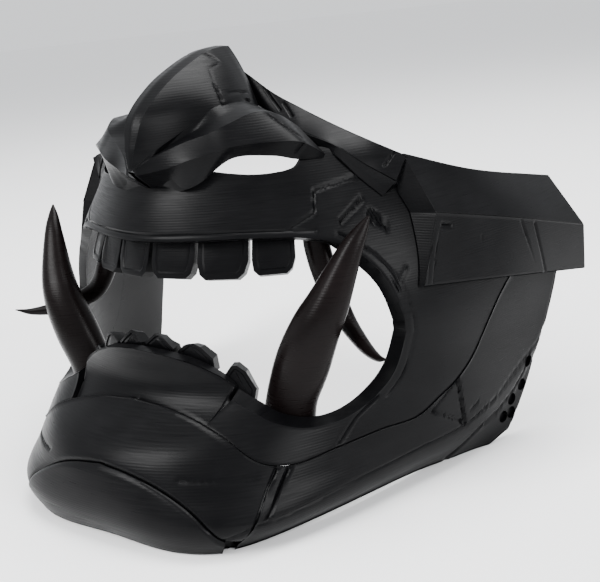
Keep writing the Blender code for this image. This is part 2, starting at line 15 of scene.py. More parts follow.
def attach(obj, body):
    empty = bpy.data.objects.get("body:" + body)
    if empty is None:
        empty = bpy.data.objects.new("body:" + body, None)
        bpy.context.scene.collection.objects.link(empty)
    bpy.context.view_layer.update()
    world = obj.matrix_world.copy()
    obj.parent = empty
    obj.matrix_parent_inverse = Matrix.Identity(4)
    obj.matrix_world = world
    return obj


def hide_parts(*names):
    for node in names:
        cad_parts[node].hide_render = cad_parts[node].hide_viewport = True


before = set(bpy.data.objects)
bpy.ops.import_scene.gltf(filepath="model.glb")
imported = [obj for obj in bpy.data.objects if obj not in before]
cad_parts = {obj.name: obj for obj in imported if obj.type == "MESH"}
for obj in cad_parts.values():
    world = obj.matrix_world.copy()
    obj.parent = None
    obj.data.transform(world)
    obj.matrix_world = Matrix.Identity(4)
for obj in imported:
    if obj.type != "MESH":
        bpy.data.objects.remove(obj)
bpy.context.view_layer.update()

# %% [markdown]
# ## Sizes
# The mask is one curved skin cut into panels, so its sizes are those of the solids: half the
# width at the cheeks, the depth from chin to the rear edge, and the height of the skin.

# %% Sizes of the mask
HALF_WIDTH = 0.0880
SKIN_DEPTH = 0.1380
SKIN_HEIGHT = 0.1030
HALF_GIRTH = 0.1600
EAR_END = 1.015
PLATE_PROUD = 0.0005
CHIN_FRONT = -(EAR_END * SKIN_DEPTH - PLATE_PROUD) / 2
WALL = 0.0032
CHIN_WALL = 0.0050
SEAM = 0.00005            # the solids' gap of 0.4 mm is closed; the rounded rims draw the seams
SEAM_U = SEAM / HALF_GIRTH
PLATE_RECESS = 0.0020
PLATE_LIFT = 0.0004
LIP_STEP = 0.0013
MM = 0.001
CELL = 0.0008             # width of one mesh cell on the panels
SIDES = (("left", 1.0), ("right", -1.0))

# %% [markdown]
# ## The skin
# A printed mask like this is drawn as one smooth surface. A table holds ten level sections of it,
# and a smooth curve through each column fills in the rest. A place on the skin has two numbers:
# u runs round the face from 0 at the front to 1 at the rear edge, and z is the height.

# %% Skin
SKIN = np.array([
    # level  front   corner x, y    cheek x, y     rear x, y
    (0.000, 0.029, 0.477, 0.112, 0.757, 0.562, 0.897, 0.732),
    (0.078, 0.000, 0.531, 0.101, 0.788, 0.511, 0.918, 0.785),
    (0.165, 0.007, 0.506, 0.134, 0.791, 0.497, 0.939, 0.825),
    (0.252, 0.041, 0.485, 0.174, 0.788, 0.494, 0.956, 0.854),
    (0.350, 0.149, 0.486, 0.246, 0.784, 0.491, 0.975, 0.888),
    (0.505, 0.159, 0.472, 0.279, 0.784, 0.490, 1.000, 0.924),
    (0.641, 0.207, 0.466, 0.315, 0.757, 0.505, 1.000, 0.947),
    (0.767, 0.236, 0.449, 0.355, 0.693, 0.525, 0.977, 0.970),
    (0.883, 0.275, 0.409, 0.391, 0.627, 0.562, 0.919, 0.990),
    (1.000, 0.330, 0.375, 0.424, 0.560, 0.595, 0.850, 1.003),
])
LEVELS = SKIN[:, 0] * SKIN_HEIGHT
STATIONS = (0.0, 0.34, 0.62, 1.0)     # u of the front, corner, cheek and rear columns


def curve(xs, ys, x, first=None):
    """Smooth curve through a table's points, worked out for many x at once."""
    x = np.asarray(x, float).ravel()
    xs = np.asarray(xs, float)
    ys = np.array([np.zeros(len(x)) + y for y in ys])
    steps = np.diff(xs)[:, None]
    slopes = np.diff(ys, axis=0) / steps
    inner = (slopes[:-1] * steps[1:] + slopes[1:] * steps[:-1]) / (steps[1:] + steps[:-1])
    start = slopes[:1] if first is None else (np.zeros(len(x)) + first)[None]
    tangents = np.concatenate([start, inner, slopes[-1:]])
    k = np.clip(np.searchsorted(xs, x, side="right") - 1, 0, len(xs) - 2)
    every = np.arange(len(x))
    step = xs[k + 1] - xs[k]
    t = (x - xs[k]) / step
    return ((2 * t**3 - 3 * t**2 + 1) * ys[k, every]
            + (t**3 - 2 * t**2 + t) * step * tangents[k, every]
            + (3 * t**2 - 2 * t**3) * ys[k + 1, every]
            + (t**3 - t**2) * step * tangents[k + 1, every])


def on_sections(way, height):
    """Points of the left half of the skin."""
    values = [curve(LEVELS, SKIN[:, k], height) for k in range(1, 8)]
    front, corner_x, corner_y, cheek_x, cheek_y, rear_x, rear_y = values
    xs = [v * HALF_WIDTH for v in (0.0 * front, corner_x, cheek_x, rear_x)]
    ys = [CHIN_FRONT + v * SKIN_DEPTH for v in (front, corner_y, cheek_y, rear_y)]
    spread = np.hypot(xs[1] - xs[0], ys[1] - ys[0]) / STATIONS[1]
    x = curve(STATIONS, xs, way, first=spread)
    y = curve(STATIONS, ys, way, first=0.0)
    return np.stack([x, y, height], 1)


def skin(u, z, out=0.0):
    """Points of the skin for arrays of u and z, moved outwards by out."""
    shape = np.broadcast(u, z).shape
    u, z, out = (np.broadcast_to(v, shape).ravel().astype(float) for v in (u, z, out))
    way = np.abs(u)
    points = on_sections(way, z)
    du, dz = 1e-3, 5e-5
    along = on_sections(way + du, z) - on_sections(way - du, z)
    along[way < du] = (1.0, 0.0, 0.0)
    up = on_sections(way, z + dz) - on_sections(way, z - dz)
    normal = np.cross(along, up)
    normal /= np.linalg.norm(normal, axis=1)[:, None]
    points += normal * out[:, None]
    points[:, 0] *= np.where(u < 0, -1.0, 1.0)
    return points.reshape(*shape, 3)


# %% [markdown]
# ## Outlines
# The panels meet along outlines drawn on the skin: the mouth, the jaw line, the upper and lower
# edges and the oval on the chin. Each is a short table of u and of height as a share of the
# skin's height. The upper edge is drawn up to 8.3 mm above the solid's, to close the slits
# between it and the nose and brow bands in front of it.

# %% Outlines
MOUTH_TOP = [(0.0, 0.772), (0.30, 0.764), (0.39, 0.754), (0.45, 0.738), (0.49, 0.716), (0.529, 0.684),
             (0.551, 0.650), (0.572, 0.600), (0.584, 0.554), (0.592, 0.512)]
MOUTH_BOTTOM = [(0.237, 0.360), (0.265, 0.344), (0.294, 0.329), (0.328, 0.310), (0.367, 0.292),
                (0.412, 0.275), (0.443, 0.270), (0.472, 0.274), (0.505, 0.293), (0.532, 0.320),
                (0.554, 0.350), (0.570, 0.384), (0.582, 0.425), (0.592, 0.470)]
LIP_TOP = [(0.0, 0.487), (0.049, 0.481), (0.099, 0.469), (0.144, 0.452), (0.186, 0.429), (0.217, 0.408),
           (0.241, 0.386)]
JAW_LINE = [(0.0, 0.348), (0.112, 0.335), (0.198, 0.310), (0.273, 0.274), (0.353, 0.212), (0.39, 0.199),
            (0.461, 0.207), (0.534, 0.215), (0.601, 0.215), (0.653, 0.249), (0.704, 0.283),
            (0.758, 0.341), (0.831, 0.494), (0.865, 0.540), (0.93, 0.548), (1.0, 0.540), (1.1, 0.540)]
UPPER_EDGE = [(0.0, 0.950), (0.08, 0.946), (0.15, 0.948), (0.21, 0.937), (0.27, 0.928), (0.33, 0.927),
              (0.36, 0.930), (0.385, 0.938), (0.41, 0.965), (0.46, 0.978), (0.52, 0.955), (0.592, 0.888),
              (0.65, 0.868), (0.72, 0.835), (0.90, 0.680), (1.0, 0.630), (1.1, 0.620)]
LOWER_EDGE = [(0.0, 0.0), (0.30, 0.0), (0.42, 0.020), (0.55, 0.018), (0.66, 0.0), (0.88, 0.0),
              (1.0, 0.030)]
OVAL_EDGE = [(0.0, 0.221), (0.076, 0.207), (0.139, 0.182), (0.218, 0.125), (0.285, 0.043), (0.36, 0.030)]
MOUTH_END = MOUTH_TOP[-1][0]
CHIN_SIDE = (0.310, 0.369)            # u of a slanted seam at its foot and at its top
LIP_SIDE = (0.206, 0.238)
OVAL_END = 0.285


def edge(outline, u):
    """Heights of an outline at an array of u."""
    u = np.asarray(u, float)
    found = curve([p[0] for p in outline], [p[1] for p in outline], np.abs(u))
    return found.reshape(u.shape) * SKIN_HEIGHT


def slanted(seam, t):
    """u of a slanted seam from its foot, t = 0, to its top, t = 1."""
    return seam[0] + (seam[1] - seam[0]) * t


def floor_edge(u):
    return np.maximum(0.0, edge(LOWER_EDGE, u))


print("mouth opening, mm high at the middle:",
      round(float(edge(MOUTH_TOP, 0.0) - edge(LIP_TOP, 0.0)) / MM, 1))

# %% [markdown]
# ## Printed plastic
# The mask is PLA plastic from a filament printer, black and satin. The printer lays it down in
# level layers, and sanding leaves fine streaks along them. Layers a fifth of a millimetre high
# are finer than the picture shows, so the bands are drawn at the coarser pitch that it can show.
# PLA has an index of refraction of about 1.46 and no metal in it. Its reflection is set
# far below the value for PLA, so that the mask stays as dark as it should under an even sky.

# %% Node and colour helpers
def linear(code):
    """sRGB hex colour as linear red, green, blue and alpha."""
    parts = [int(code[k:k + 2], 16) / 255 for k in (1, 3, 5)]
    return [v / 12.92 if v <= 0.04045 else ((v + 0.055) / 1.055) ** 2.4 for v in parts] + [1.0]


def add(tree, kind, settings=None, **links):
    """Adds a node with its settings; links gives a socket a value or another node's output."""
    node = tree.nodes.new(kind)
    for name, value in (settings or {}).items():
        setattr(node, name, value)
    for name, value in links.items():
        socket = node.inputs[int(name[1:])] if name[1:].isdigit() else node.inputs[name.replace("_", " ")]
        if isinstance(value, bpy.types.NodeSocket):
            tree.links.new(value, socket)
        else:
            socket.default_value = value
    return node


# %% Satin PLA
SANDED_GLOSS = 0.08           # the value for PLA is near 0.5
LAYER_PITCH = 0.7 * MM        # the real layers are about 0.2 mm, too fine to show
STREAK_LENGTH = 9.0 * MM
STREAK_HEIGHT = 0.35 * MM
CLOUD_SIZE = 18.0 * MM        # width of the patches that sanding has greyed
WAVE_TURN = math.tau / 20     # a wave texture of scale 1 repeats after this many metres


def printed_plastic(name, colour, worn, roughness, layers, streaks):
    """Layered PLA: colour in the hollows, worn where sanding has greyed it."""
    made = bpy.data.materials.new(name)
    made.use_nodes = True
    tree = made.node_tree
    shader = tree.nodes["Principled BSDF"]
    shader.inputs["IOR"].default_value = 1.46
    shader.inputs["Specular IOR Level"].default_value = SANDED_GLOSS
    shader.inputs["Metallic"].default_value = 0.0
    place = add(tree, "ShaderNodeTexCoord").outputs["Object"]
    stretched = add(tree, "ShaderNodeMapping", Vector=place,
                    Scale=(1 / STREAK_LENGTH, 1 / STREAK_LENGTH, 1 / STREAK_HEIGHT)).outputs[0]
    grain = add(tree, "ShaderNodeTexNoise", Vector=stretched, Scale=1.0, Detail=3.0,
                Roughness=0.6).outputs[0]
    cloud = add(tree, "ShaderNodeTexNoise", Vector=place, Scale=1 / CLOUD_SIZE, Detail=2.0).outputs[0]
    lines = add(tree, "ShaderNodeTexWave", {"bands_direction": "Z", "wave_profile": "SIN"},
                Vector=place, Scale=WAVE_TURN / LAYER_PITCH, Distortion=0.6).outputs["Fac"]
    patch = add(tree, "ShaderNodeMapRange", Value=cloud, From_Min=0.40, From_Max=0.66).outputs[0]
    scuffed = add(tree, "ShaderNodeMath", {"operation": "MULTIPLY"}, _0=patch, _1=grain).outputs[0]
    base = add(tree, "ShaderNodeMix", {"data_type": "RGBA"}, Factor=scuffed)
    for socket, code in ((6, colour), (7, worn)):
        base.inputs[socket].default_value = linear(code)
    tree.links.new(base.outputs[2], shader.inputs["Base Color"])
    gloss = add(tree, "ShaderNodeMapRange", Value=grain, From_Min=0.3, From_Max=0.7,
                To_Min=roughness - 0.06, To_Max=roughness + 0.08).outputs[0]
    tree.links.new(gloss, shader.inputs["Roughness"])
    ridged = add(tree, "ShaderNodeBump", Height=lines, Strength=1.0, Distance=layers * MM).outputs[0]
    rough = add(tree, "ShaderNodeBump", Height=grain, Strength=1.0, Distance=streaks * MM,
                Normal=ridged).outputs[0]
    tree.links.new(rough, shader.inputs["Normal"])
    return made


BODY_PLASTIC = printed_plastic("black_pla_sanded", "#050506", "#0f0f10", 0.33, 0.010, 0.016)
TUSK_PLASTIC = printed_plastic("black_pla_tusks", "#090606", "#100b0b", 0.30, 0.014, 0.006)
print("materials:", BODY_PLASTIC.name, "and", TUSK_PLASTIC.name)

# %% [markdown]
# ## Panels
# Each panel is a wall over a grid of places on the skin. A flat grid is laid over the skin by
# moving its points, extruded to get the wall's back, and its rim is bevelled, because a printed
# and sanded rim is never sharp.

# %% Walls
RIM = 0.45 * MM           # how far a panel's rim is rounded


def finish(name, body, plastic, nodes, smooth=32.0):
    """Makes a bmesh an object that stands for some of the solids."""
    bmesh.ops.recalc_face_normals(body, faces=body.faces)
    mesh = bpy.data.meshes.new(name)
    body.to_mesh(mesh)
    body.free()
    mesh.materials.append(plastic)
    mesh.shade_smooth()
    mesh.set_sharp_from_angle(angle=math.radians(smooth))
    piece = bpy.data.objects.new(name, mesh)
    bpy.context.collection.objects.link(piece)
    if nodes:
        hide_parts(*nodes)
    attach(piece, "root")
    print(name, len(mesh.polygons), "faces")
    return piece


def wall_between(front, back, gone=None, creases=(), rim=RIM):
    """Closed wall between two grids of points, shape (columns, rows, 3); gone marks open cells."""
    columns, rows = front.shape[:2]
    body = bmesh.new()
    bmesh.ops.create_grid(body, x_segments=columns - 1, y_segments=rows - 1, size=0.5)

    def cell(v):
        return round((v.co.x + 0.5) * (columns - 1)), round((v.co.y + 0.5) * (rows - 1))
    place = {v: cell(v) for v in body.verts}
    if gone is not None:
        open_faces = []
        for face in body.faces:
            i = min(place[v][0] for v in face.verts)
            j = min(place[v][1] for v in face.verts)
            if gone[i, j]:
                open_faces.append(face)
        bmesh.ops.delete(body, geom=open_faces, context="FACES")
    rounded = [e for e in body.edges if e.is_boundary]
    sides = set(rounded)
    for e in body.edges:
        first, last = (place[v] for v in e.verts)
        across = first[0] == last[0] and ("column", first[0]) in creases
        level = first[1] == last[1] and ("row", first[1]) in creases
        if (across or level) and e not in sides:
            rounded.append(e)
    fresh = bmesh.ops.extrude_face_region(body, geom=body.faces[:])["geom"]
    behind = {v for v in fresh if isinstance(v, bmesh.types.BMVert)}
    for v in behind:
        v.co = back[cell(v)]
    for v in body.verts:
        if v not in behind:
            v.co = front[place[v]]
    rounded = [e for e in rounded if e.is_valid]
    if rim:
        bmesh.ops.bevel(body, geom=rounded, offset=rim, segments=2, profile=0.5, affect="EDGES",
                        material=-1, clamp_overlap=True)
    bmesh.ops.remove_doubles(body, verts=body.verts, dist=1e-6)
    return body


def steps_between(keys, step):
    """Values from key to key, at most one step apart."""
    values = [keys[0]]
    for a, b in zip(keys, keys[1:]):
        count = max(1, math.ceil((b - a) / step))
        values += [a + (b - a) * k / count for k in range(1, count + 1)]
    return np.array(values)


def both_sides(values):
    return np.concatenate([-values[:0:-1], values])


# %% [markdown]
# Engraved lines are cut into the skin as shallow V grooves. The distance from a place to the line
# sets how deep it is, and the mesh points nearest to a line are first moved onto it, so the
# bottom of the groove stays crisp.

# %% Engraved lines
def nearest(u, z, line):
    """Distance in mm from places on the skin to a broken line, and the nearest places on it."""
    s, h = np.abs(u) * HALF_GIRTH / MM, z / MM
    best = np.full(s.shape, 1e9)
    best_u, best_z = np.array(u), np.array(z)
    for (u0, z0), (u1, z1) in zip(line, line[1:]):
        s0, s1 = u0 * HALF_GIRTH / MM, u1 * HALF_GIRTH / MM
        long = (s1 - s0) ** 2 + (z1 - z0) ** 2
        t = np.clip(((s - s0) * (s1 - s0) + (h - z0) * (z1 - z0)) / long, 0.0, 1.0)
        gap = np.hypot(s - s0 - t * (s1 - s0), h - z0 - t * (z1 - z0))
        closer = gap < best
        best = np.where(closer, gap, best)
        best_u = np.where(closer, np.sign(u) * (u0 + t * (u1 - u0)), best_u)
        best_z = np.where(closer, (z0 + t * (z1 - z0)) * MM, best_z)
    return best, best_u, best_z


def engrave(u, z, lines, keep=2):
    """Places with the nearest ones moved onto the lines, and how far the lines sink them."""
    u, z = np.array(u, float), np.array(z, float)
    inside = np.zeros(u.shape, bool)
    inside[keep:-keep, keep:-keep] = True
    for line, half_width, deep in lines:
        gap, near_u, near_z = nearest(u, z, line)
        take = inside & (gap < 0.45 * CELL / MM)
        u[take], z[take] = near_u[take], near_z[take]
    sunk = np.zeros(u.shape)
    for line, half_width, deep in lines:
        gap = nearest(u, z, line)[0]
        sunk = np.minimum(sunk, -deep * MM * np.clip(1 - gap / half_width, 0, 1))
    return u, z, sunk


# %% [markdown]
# ## Face shell
# The lip band, the cheeks and the ring round the mouth are one wall. Its grid follows the mouth's
# outline, so the opening's rim is smooth. The rim is chamfered: it slants inwards to the wall's back.

# %% Face shell
MOUTH_SHARES = (0.380, 0.442)
LIP_COLUMN = 0.24
CHAMFER = 0.0026          # the mouth's rim slants this far into the opening
CHAMFER_GROWS = (0.45, 0.53)
LOW_ROWS, MIDDLE_ROWS, HIGH_ROWS = 26, 7, 38
COMB = [([(u, z), (u - 0.009, z - 2.6)], 0.55, 0.5) for u, z in
        ((0.567, 82.6), (0.577, 81.8), (0.586, 80.9), (0.595, 80.0), (0.604, 79.0))]
SHELL_LINES = COMB + [
    # places (u, height in mm), half width and depth in mm
    ([(0.336, 80.0), (0.421, 83.7), (0.429, 89.3), (0.554, 91.5)], 0.7, 0.5),
    ([(0.489, 80.7), (0.555, 85.4)], 1.0, 0.9),
    ([(0.582, 61.3), (0.613, 65.7)], 0.7, 0.5),
    ([(0.527, 31.3), (0.492, 27.7), (0.465, 22.1)], 0.7, 0.5),
    ([(0.728, 28.4), (0.759, 28.3)], 0.7, 0.6),
    ([(0.0, 81.3), (0.12, 81.3), (0.22, 81.0), (0.31, 80.4), (0.37, 79.8), (0.42, 79.2)], 0.55, 0.5),
    ([(0.475, 77.6), (0.508, 75.4), (0.549, 71.5), (0.571, 67.6), (0.592, 62.2), (0.604, 57.3), (0.612, 52.7),
      (0.612, 48.2), (0.602, 43.2), (0.589, 38.5), (0.571, 34.5), (0.546, 31.0)], 0.5, 0.35),
]


def shell_places():
    half = steps_between([0.0, LIP_COLUMN, MOUTH_END, 1.0], CELL / HALF_GIRTH)
    ways = both_sides(half)
    rows = LOW_ROWS + MIDDLE_ROWS + HIGH_ROWS
    u = np.zeros((len(ways), rows))
    z = np.zeros((len(ways), rows))
    side = np.where(ways < 0, -1.0, 1.0)
    for j in range(rows):
        way = np.abs(ways)
        if j < LOW_ROWS:
            t = j / (LOW_ROWS - 1)
            lean = np.clip((MOUTH_END - way) / (MOUTH_END - LIP_COLUMN), 0.0, None)
            way = way - lean * (LIP_COLUMN - LIP_SIDE[1] - SEAM_U + (LIP_SIDE[1] - LIP_SIDE[0]) * (1 - t))
        low, high = edge(JAW_LINE, way) + SEAM / 2, edge(UPPER_EDGE, way) - SEAM / 2
        mouth = way < MOUTH_END - 1e-9
        bottom = np.where(mouth, edge(MOUTH_BOTTOM, way), low + MOUTH_SHARES[0] * (high - low))
        top = np.where(mouth, edge(MOUTH_TOP, way), low + MOUTH_SHARES[1] * (high - low))
        if j < LOW_ROWS:
            z[:, j] = low + (bottom - low) * t
        elif j < LOW_ROWS + MIDDLE_ROWS:
            z[:, j] = bottom + (top - bottom) * (j - LOW_ROWS + 1) / (MIDDLE_ROWS + 1)
        else:
            z[:, j] = top + (high - top) * (j - LOW_ROWS - MIDDLE_ROWS) / (HIGH_ROWS - 1)
        u[:, j] = side * way
    return ways, u, z


def face_shell():
    ways, u, z = shell_places()
    reach = np.abs(ways)
    first_high = LOW_ROWS + MIDDLE_ROWS
    gone = np.zeros((len(ways) - 1, u.shape[1] - 1), bool)
    wide = np.maximum(reach[:-1], reach[1:])
    in_mouth, in_lip = wide < MOUTH_END + 1e-9, wide < LIP_COLUMN + 1e-9
    gone[in_mouth, LOW_ROWS - 1:first_high] = True
    gone[in_lip, :LOW_ROWS - 1] = True
    inner_u, inner_z = u.copy(), z.copy()
    at_rim = np.isclose(reach, MOUTH_END)
    ends = []
    for j, outline, turn, grows in ((LOW_ROWS - 1, MOUTH_BOTTOM, 1.0, (0.0, 0.1)),
                                    (first_high, MOUTH_TOP, -1.0, CHAMFER_GROWS)):
        way = np.abs(u[:, j])
        rise = (edge(outline, way) - edge(outline, way - 0.01)) / (0.01 * HALF_GIRTH)
        size = turn * CHAMFER * np.clip((way - grows[0]) / (grows[1] - grows[0]), 0, 1) / np.hypot(rise, 1)
        size[way > MOUTH_END + 1e-9] = 0.0
        inner_u[:, j] -= np.sign(u[:, j]) * rise * size / HALF_GIRTH
        inner_z[:, j] += size
        ends.append(float(size[at_rim][0]))
    for j in range(LOW_ROWS, first_high):
        t = (j - LOW_ROWS + 1) / (MIDDLE_ROWS + 1)
        dz = ends[0] * (1 - t) + ends[1] * t
        inner_z[at_rim, j] += dz
        inner_u[at_rim, j] -= np.sign(u[at_rim, j]) * math.sqrt(CHAMFER**2 - dz**2) / HALF_GIRTH
    back = skin(inner_u, inner_z, -WALL)
    u, z, sunk = engrave(u, z, SHELL_LINES)
    front = skin(u, z, sunk)
    return finish("face_panel", wall_between(front, back, gone), BODY_PLASTIC, ["face_shell"])


face_shell()

# %% [markdown]
# ## Lower lip, chin and oval plate
# The lip lies a little behind the chin, so the chin's upper edge shows as a step. The oval plate
# sits in a shallow seat in the chin. Its front is left bare.

# %% Lower lip and chin
CHIN_ROLL, CHIN_ROLL_WIDTH = 0.9 * MM, 1.4 * MM       # the chin rolls over beside the oval
PLATE_ROLL, PLATE_ROLL_WIDTH = 0.7 * MM, 1.2 * MM     # and so does the plate's edge
LIP_ROLL, LIP_ROLL_WIDTH = 0.3 * MM, 1.5 * MM
OVAL_STEP = 0.2 * MM                                  # height of the step from the seat to the face
CHIN_LINES = [
    # places (u, height in mm), half width and depth in mm
    ([(0.190, 20.5), (0.332, 19.2)], 0.45, 0.3),
    ([(0.281, 5.6), (0.320, 7.8)], 0.6, 0.4),
]


def lower_lip():
    shares = both_sides(steps_between([0.0, 1.0], 0.02))
    t = np.linspace(0.0, 1.0, 24)
    u = shares[:, None] * (slanted(LIP_SIDE, t) - SEAM_U)[None, :]
    low, high = edge(JAW_LINE, u) + SEAM / 2, edge(LIP_TOP, u)
    z = low + t[None, :] * (high - low)
    roll = LIP_ROLL * np.clip(1 - (high - z) / LIP_ROLL_WIDTH, 0, 1) ** 2
    body = wall_between(skin(u, z, -LIP_STEP - roll), skin(u, z, -LIP_STEP - WALL))
    return finish("lower_lip_panel", body, BODY_PLASTIC, ["lower_lip"])


def chin():
    shares = both_sides(steps_between([0.0, 1.0], 0.014))[:, None]
    seat_rows, rows = 8, 40
    j = np.arange(rows)[None, :]
    u = shares * slanted(CHIN_SIDE, 0.5) + 0.0 * j
    for _ in range(6):        # the seams slant, so u and z settle together
        low, top, oval = floor_edge(u), edge(JAW_LINE, u) - SEAM / 2, edge(OVAL_EDGE, u)
        seat = low + (oval - low) * j / (seat_rows - 1)
        face = oval + OVAL_STEP + (top - oval - OVAL_STEP) * (j - seat_rows) / (rows - 1 - seat_rows)
        z = np.where(j < seat_rows, seat, face)
        u = shares * (slanted(CHIN_SIDE, (z - low) / (top - low)) - 2 * SEAM_U)
    back = skin(u, z, -CHIN_WALL)
    back[:, 0, 2] = z[:, 0]
    front_u, front_z, sunk = engrave(u, z, CHIN_LINES)
    roll = CHIN_ROLL * np.clip(1 - (z - oval) / CHIN_ROLL_WIDTH, 0, 1) ** 2
    sunk = np.where(j < seat_rows, -PLATE_RECESS, sunk - roll)
    front = skin(front_u, front_z, sunk)
    front[:, 0, 2] = z[:, 0]
    return finish("chin_panel", wall_between(front, back), BODY_PLASTIC, ["chin"])


def oval_plate():
    rows = 24
    u = both_sides(steps_between([0.0, OVAL_END], CELL / HALF_GIRTH))[:, None] + np.zeros((1, rows))
    low, high = floor_edge(u) + PLATE_LIFT, edge(OVAL_EDGE, u) - SEAM
    z = low + (high - low) * np.linspace(0.0, 1.0, rows)[None, :]
    roll = PLATE_ROLL * np.clip(1 - (high - z) / PLATE_ROLL_WIDTH, 0, 1) ** 2
    front, back = skin(u, z, PLATE_PROUD - roll), skin(u, z, SEAM - PLATE_RECESS)
    front[:, 0, 2] = back[:, 0, 2] = z[:, 0]
    return finish("oval_chin_plate", wall_between(front, back, rim=0.2 * MM), BODY_PLASTIC,
                  ["chin_plate"])


lower_lip()
chin()
oval_plate()

# %% [markdown]
# ## Jaws
# Each jaw is a rail along the bottom that widens into the rear cheek panel. A bevel runs along
# the rail, two slots stand beside the chin, and five blind vents stand in the rear corner. The
# vents are round, so a boolean with short rods cuts them and is then applied.

# %% Jaws
VENT_RADIUS, VENT_DEPTH = 0.0020, 0.0020
VENTS = ((0.975, 0.225), (0.978, 0.155), (0.948, 0.122), (0.972, 0.078), (0.930, 0.076))
BEVEL_LINE = [(0.282, 7.5), (0.352, 8.9), (0.466, 11.0), (0.597, 12.0), (0.719, 12.7), (0.855, 16.9),
              (0.987, 27.9), (1.014, 36.1)]
BEVEL_FALL = 0.10         # how far the bevel falls back, as a share of the height below its line
BEVEL_HEIGHT = 8.0        # mm below the line over which it falls
TRIANGLE_DEPTH = 0.6 * MM
JAW_SHARE = 0.69          # a jaw covers about this share of the girth
TRIANGLE = [(0.633, 21.8), (0.706, 28.6), (0.719, 13.2)]
JAW_LINES = [
    # places (u, height in mm), half width and depth in mm
    ([(0.367, 20.6), (0.324, 9.5)], 0.7, 0.9),
    ([(0.388, 20.0), (0.352, 9.9)], 0.7, 0.9),
    ([(0.644, 0.5), (0.772, 8.3), (0.878, 11.1), (0.934, 15.3), (0.965, 20.3), (0.971, 26.2)], 0.6, 0.45),
    ([(0.739, 17.0), (0.766, 18.5)], 0.4, 0.3),
    (TRIANGLE + TRIANGLE[:1], 0.7, 0.6),
    (BEVEL_LINE, 0.6, 0.35),
]


def inside_triangle(u, z, corners):
    """True at the places inside a triangle drawn on the skin."""
    u = np.abs(u)
    signs = []
    for (u0, z0), (u1, z1) in zip(corners, corners[1:] + corners[:1]):
        signs.append((u1 - u0) * (z / MM - z0) - (z1 - z0) * (u - u0) > 0)
    return (signs[0] == signs[1]) & (signs[1] == signs[2])


def jaw(word, side):
    ways = steps_between([0.0, 1.0], CELL / HALF_GIRTH / JAW_SHARE)
    t = np.linspace(0.0, 1.0, 48)[None, :]
    first = slanted(CHIN_SIDE, t) + SEAM_U
    u = first + (1.0 - first) * ways[:, None]
    low, high = floor_edge(u), edge(JAW_LINE, u) - SEAM
    z = low + t * (high - low)
    back = skin(side * u, z, -WALL)
    back[:, 0, 2] = z[:, 0]
    u, z, sunk = engrave(u, z, JAW_LINES)
    bevel_z = curve([p[0] for p in BEVEL_LINE], [p[1] for p in BEVEL_LINE], u.ravel()).reshape(u.shape)
    sunk -= BEVEL_FALL * np.clip(bevel_z - z / MM, 0, BEVEL_HEIGHT) * MM
    sunk -= TRIANGLE_DEPTH * inside_triangle(u, z, TRIANGLE)
    front = skin(side * u, z, sunk)
    front[:, 0, 2] = z[:, 0]
    body = wall_between(front, back)
    piece = finish("jaw_panel_" + word, body, BODY_PLASTIC, ["jaw_" + word])
    rods = bmesh.new()
    for way, share in VENTS:
        ends = skin(np.array([side * way] * 2), np.array([share * SKIN_HEIGHT] * 2),
                    np.array([-VENT_DEPTH, WALL]))
        inner, outer = Vector(ends[0]), Vector(ends[1])
        turn = (outer - inner).to_track_quat("Z", "Y").to_matrix().to_4x4()
        turn.translation = (inner + outer) / 2
        bmesh.ops.create_cone(rods, cap_ends=True, segments=32, radius1=VENT_RADIUS,
                              radius2=VENT_RADIUS, depth=(outer - inner).length, matrix=turn)
    mesh = bpy.data.meshes.new("vent_rods")
    rods.to_mesh(mesh)
    rods.free()
    tool = bpy.data.objects.new("vent_rods", mesh)
    bpy.context.collection.objects.link(tool)
    cut = piece.modifiers.new("vents", "BOOLEAN")
    cut.operation, cut.solver, cut.object = "DIFFERENCE", "MANIFOLD", tool
    drilled = bpy.data.meshes.new_from_object(piece.evaluated_get(bpy.context.evaluated_depsgraph_get()))
    piece.modifiers.clear()
    piece.data = drilled
    bpy.data.objects.remove(tool, do_unlink=True)
    print("vents drilled:", len(VENTS))
    return piece


for word, side in SIDES:
    jaw(word, side)

# %% [markdown]
# ## Lines on the free-standing pieces
# The nose, the brow bands and the ear plates aren't part of the skin, so their engraved lines are
# given as points in space, in millimetres, on the left half. The same V groove is pressed in.

# %% Grooves in space
def surface_normals(points):
    """Normals of a grid of points, on the side that the grid's order gives; the callers turn them outwards.
    """
    across, along = np.gradient(points, axis=0), np.gradient(points, axis=1)
    normal = np.cross(across, along)
    normal /= np.linalg.norm(normal, axis=2)[:, :, None] + 1e-12
    return normal


def groove_in_space(points, normal, lines):
    """The grid with V grooves sunk along broken lines given in mm on the left half."""
    folded = np.abs(points[:, :, :1])
    place = np.concatenate([folded, points[:, :, 1:]], axis=2) / MM
    sunk = np.zeros(points.shape[:2])
    for line, half_width, deep in lines:
        for a, b in zip(line, line[1:]):
            a, b = np.array(a, float), np.array(b, float)
            t = np.clip((place - a) @ (b - a) / ((b - a) @ (b - a)), 0, 1)
            gap = np.linalg.norm(place - a - t[:, :, None] * (b - a), axis=2)
            sunk = np.minimum(sunk, -deep * np.clip(1 - gap / half_width, 0, 1))
    return points + normal * sunk[:, :, None] * MM


# %% [markdown]
# ## Nose
# The nose is a hood with a pointed tip and two wings. Its sections run from the tip to the brow;
# each holds the ridge strip, the swelling side, the edge over the pocket, the wing's upper edge,
# the arch over the nostril and the arch's bevelled underside. Under the tip the rim runs back
# to the lip band as a keel.

